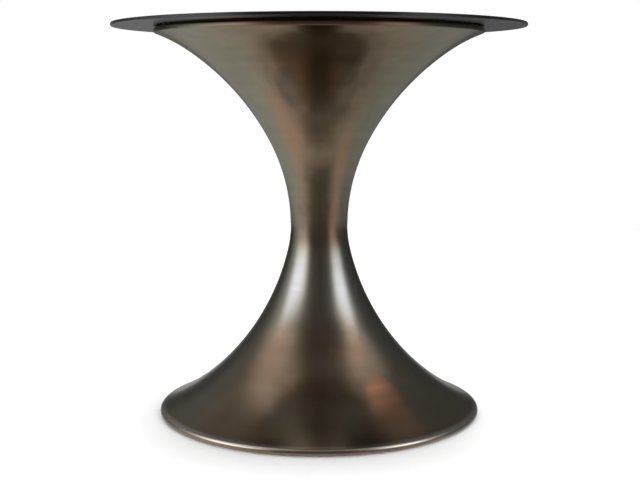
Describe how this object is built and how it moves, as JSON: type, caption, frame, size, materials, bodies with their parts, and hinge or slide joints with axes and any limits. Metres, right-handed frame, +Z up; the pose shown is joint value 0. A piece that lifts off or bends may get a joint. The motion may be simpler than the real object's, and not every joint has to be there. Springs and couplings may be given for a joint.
{
  "type": "dining table base",
  "caption": "Hourglass pedestal base for a dining table: a spun metal body with flared ends, round rims and a thin round plate on top that carries the table top.",
  "frame": {"origin": "on the floor, in the middle of the base, under the pedestal's axis", "axes": "+Z up along the pedestal's axis; +X through the middle of one floor pad"},
  "size_m": [0.7639, 0.764, 0.73],
  "materials": {
    "bronze_body": "brushed and patinated bronze",
    "black_plate": "gloss black",
    "black_spacer": "matt black",
    "plain_steel": "plain steel",
    "screw_steel": "dark zinc",
    "ballast_plate": "satin black",
    "glide_nylon": "matt black nylon"
  },
  "bodies": {
    "root": {"upper_trumpet": "bronze_body", "lower_trumpet": "bronze_body", "top_plate": "black_plate", "spacer_ring": "black_spacer", "clamp_ring": "plain_steel", "plate_screws": "screw_steel", "base_plate": "ballast_plate", "floor_glides": "glide_nylon", "glide_screws": "screw_steel"}
  },
  "joints": []
}
